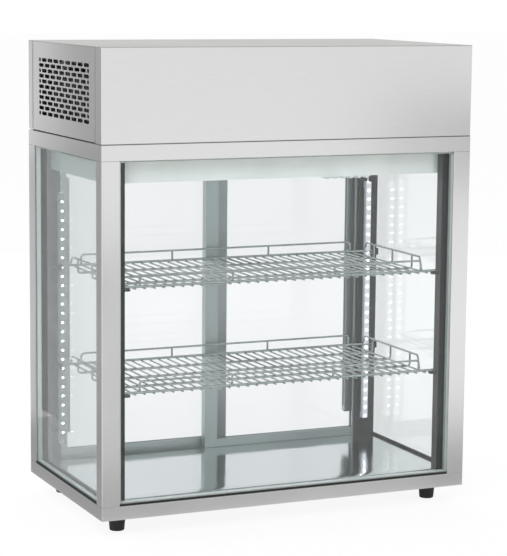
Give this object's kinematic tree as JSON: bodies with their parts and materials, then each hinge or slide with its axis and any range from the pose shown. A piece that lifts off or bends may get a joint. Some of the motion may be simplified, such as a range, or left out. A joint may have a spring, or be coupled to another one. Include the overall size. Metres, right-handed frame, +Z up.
{
  "type": "refrigerated self-service display case",
  "caption": "Upright countertop refrigerated display case: stainless frame, double-glazed front and sides, rear sliding glass doors, wire shelves, lit interior and a louvred machine header.",
  "frame": {"origin": "centre of the footprint on the floor, under the four feet", "axes": "+Z up, +X to the right seen from the glazed front, -Y out of the glazed front towards the customer, +Y to the rear doors"},
  "size_m": [0.686, 0.383, 0.815],
  "materials": {
    "stainless_panel": "fine satin brushed stainless sheet",
    "polished_floor": "bright annealed stainless floor, nearly a mirror",
    "dark_trim": "dark grey anodised extrusion",
    "door_aluminium": "satin clear-anodised extrusion",
    "spacer_aluminium": "perforated spacer bar",
    "clear_glass": "clear toughened double glazing",
    "door_glass": "clear toughened glass",
    "seal_rubber": "black extruded gasket",
    "foot_rubber": "moulded black rubber",
    "coated_pan": "pale grey-green coated sheet",
    "shelf_chrome": "chromed wire",
    "bracket_black": "black moulded support",
    "foam_core": "closed-cell foam",
    "coil_aluminium": "mill-finish fins and tubes",
    "compressor_enamel": "black enamel",
    "motor_steel": "dark lacquered steel",
    "fan_plastic": "black moulded plastic",
    "copper_tube": "drawn copper tube with soldered ends",
    "controller_gloss": "glossy black bezel",
    "button_matte": "soft dark grey keys",
    "rocker_gloss": "glossy black rocker",
    "switch_black": "black moulded nylon",
    "led_bar_white": "white strip with light-emitting chips",
    "screw_steel": "plated pan-head screws",
    "glide_nylon": "white nylon shoe"
  },
  "bodies": {
    "case": {"base_frame": "stainless_panel", "bottom_plate": "stainless_panel", "bottom_track": "door_aluminium", "cable_gland": "switch_black", "compressor": "compressor_enamel", "compressor_grommets": "foot_rubber", "condenser_coil": "coil_aluminium", "controller_body": "controller_gloss", "evaporator_coil": "coil_aluminium", "evaporator_cover": "coated_pan", "fan_motors": "motor_steel", "fasteners": "screw_steel", "feet": "foot_rubber", "floor_pan": "polished_floor", "front_corner_trims": "dark_trim", "front_panes": "clear_glass", "header_front_cover": "stainless_panel", "header_top_panel": "stainless_panel", "insulation_slabs": "foam_core", "led_bar_left": "led_bar_white", "led_bar_right": "led_bar_white", "left_grille_panel": "stainless_panel", "left_panes": "clear_glass", "machine_deck": "stainless_panel", "pane_spacers": "spacer_aluminium", "post_front_left": "stainless_panel", "post_front_right": "stainless_panel", "post_rear_left": "stainless_panel", "post_rear_right": "stainless_panel", "rear_cover": "stainless_panel", "rear_jamb_left": "dark_trim", "rear_jamb_right": "dark_trim", "refrigerant_lines": "copper_tube", "right_grille_panel": "stainless_panel", "right_panes": "clear_glass", "rubber_seals": "seal_rubber", "shelf_brackets": "bracket_black", "switch_housings": "switch_black", "top_frame": "stainless_panel", "top_track": "door_aluminium"},
    "left_door": {"left_door_frame": "door_aluminium", "left_door_glass": "door_glass", "left_door_pull": "door_aluminium", "left_door_glides": "glide_nylon"},
    "right_door": {"right_door_frame": "door_aluminium", "right_door_glass": "door_glass", "right_door_pull": "door_aluminium", "right_door_glides": "glide_nylon"},
    "upper_shelf_unit": {"upper_shelf": "shelf_chrome", "upper_shelf_rails": "shelf_chrome"},
    "lower_shelf_unit": {"lower_shelf": "shelf_chrome", "lower_shelf_rails": "shelf_chrome"},
    "evaporator_fan": {"evaporator_fan_blade": "fan_plastic"},
    "condenser_fan": {"condenser_fan_blade": "fan_plastic"},
    "button_1": {"controller_button_1": "button_matte"},
    "button_2": {"controller_button_2": "button_matte"},
    "button_3": {"controller_button_3": "button_matte"},
    "button_4": {"controller_button_4": "button_matte"},
    "light_switch": {"light_switch_rocker": "rocker_gloss"},
    "power_switch": {"power_switch_rocker": "rocker_gloss"}
  },
  "joints": [
    {"name": "left_door_slide", "type": "slide", "parent": "case", "child": "left_door", "axis": [1, 0, 0], "range_m": [0, 0.244]},
    {"name": "right_door_slide", "type": "slide", "parent": "case", "child": "right_door", "axis": [1, 0, 0], "range_m": [-0.244, 0]},
    {"name": "upper_shelf_lift", "type": "slide", "parent": "case", "child": "upper_shelf_unit", "axis": [0, 0, 1], "range_m": [0, 0.02]},
    {"name": "lower_shelf_lift", "type": "slide", "parent": "case", "child": "lower_shelf_unit", "axis": [0, 0, 1], "range_m": [0, 0.02]},
    {"name": "evaporator_fan_spin", "type": "hinge", "parent": "case", "child": "evaporator_fan", "pos_m": [0.127, -0.0265, 0.612], "axis": [0, 0, 1], "continuous": true},
    {"name": "condenser_fan_spin", "type": "hinge", "parent": "case", "child": "condenser_fan", "pos_m": [-0.246, 0.0005, 0.722], "axis": [1, 0, 0], "continuous": true},
    {"name": "button_1_press", "type": "slide", "parent": "case", "child": "button_1", "axis": [0, -1, 0], "range_m": [0, 0.0008], "stiffness_N_per_m": 1500},
    {"name": "button_2_press", "type": "slide", "parent": "case", "child": "button_2", "axis": [0, -1, 0], "range_m": [0, 0.0008], "stiffness_N_per_m": 1500},
    {"name": "button_3_press", "type": "slide", "parent": "case", "child": "button_3", "axis": [0, -1, 0], "range_m": [0, 0.0008], "stiffness_N_per_m": 1500},
    {"name": "button_4_press", "type": "slide", "parent": "case", "child": "button_4", "axis": [0, -1, 0], "range_m": [0, 0.0008], "stiffness_N_per_m": 1500},
    {"name": "light_switch_rock", "type": "hinge", "parent": "case", "child": "light_switch", "pos_m": [-0.12, 0.1765, 0.755], "axis": [1, 0, 0], "range_deg": [-16, 0]},
    {"name": "power_switch_rock", "type": "hinge", "parent": "case", "child": "power_switch", "pos_m": [-0.088, 0.1765, 0.755], "axis": [1, 0, 0], "range_deg": [-16, 0]}
  ]
}
